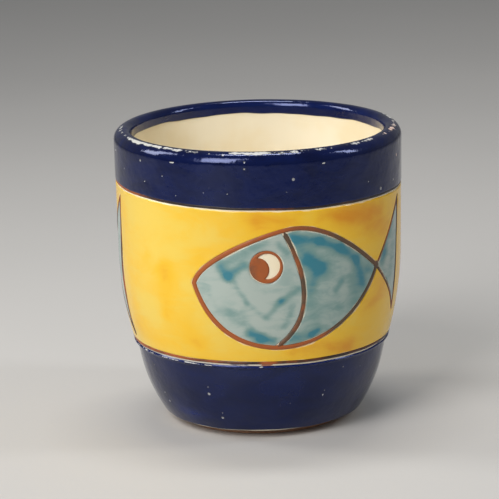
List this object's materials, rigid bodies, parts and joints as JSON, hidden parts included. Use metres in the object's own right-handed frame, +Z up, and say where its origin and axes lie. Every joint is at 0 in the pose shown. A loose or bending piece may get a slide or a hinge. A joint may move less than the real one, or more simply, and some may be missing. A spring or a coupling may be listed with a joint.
{
  "type": "shot glass",
  "caption": "Small round glazed ceramic shot cup, blue rim and foot, yellow band with turquoise fish painted round it, rounded lip and bare foot ring.",
  "frame": {"origin": "on the cup's axis, at the plane the foot ring stands on", "axes": "+Z up along the cup's axis; -Y is the front, the side of the first fish; +X is to the right of someone looking at the front"},
  "size_m": [0.048, 0.048, 0.0496],
  "materials": {
    "fired_clay": "matte",
    "cream_glaze": "gloss",
    "cobalt_glaze": "gloss",
    "yellow_glaze": "gloss",
    "turquoise_glaze": "gloss",
    "rust_line_glaze": "gloss",
    "dark_line_glaze": "gloss"
  },
  "bodies": {
    "root": {"clay_body": "fired_clay", "cream_glaze": "cream_glaze", "rim_blue_glaze": "cobalt_glaze", "upper_line": "dark_line_glaze", "yellow_glaze": "yellow_glaze", "lower_line": "dark_line_glaze", "foot_blue_glaze": "cobalt_glaze", "front_fish_outline": "rust_line_glaze", "front_fish_gill_line": "rust_line_glaze", "front_fish_head": "turquoise_glaze", "front_fish_body": "turquoise_glaze", "front_fish_eye": "rust_line_glaze", "front_fish_tail_outline": "rust_line_glaze", "front_fish_tail": "turquoise_glaze", "back_fish_outline": "rust_line_glaze", "back_fish_gill_line": "rust_line_glaze", "back_fish_head": "turquoise_glaze", "back_fish_body": "turquoise_glaze", "back_fish_eye": "rust_line_glaze", "back_fish_tail_outline": "rust_line_glaze", "back_fish_tail": "turquoise_glaze"}
  },
  "joints": []
}
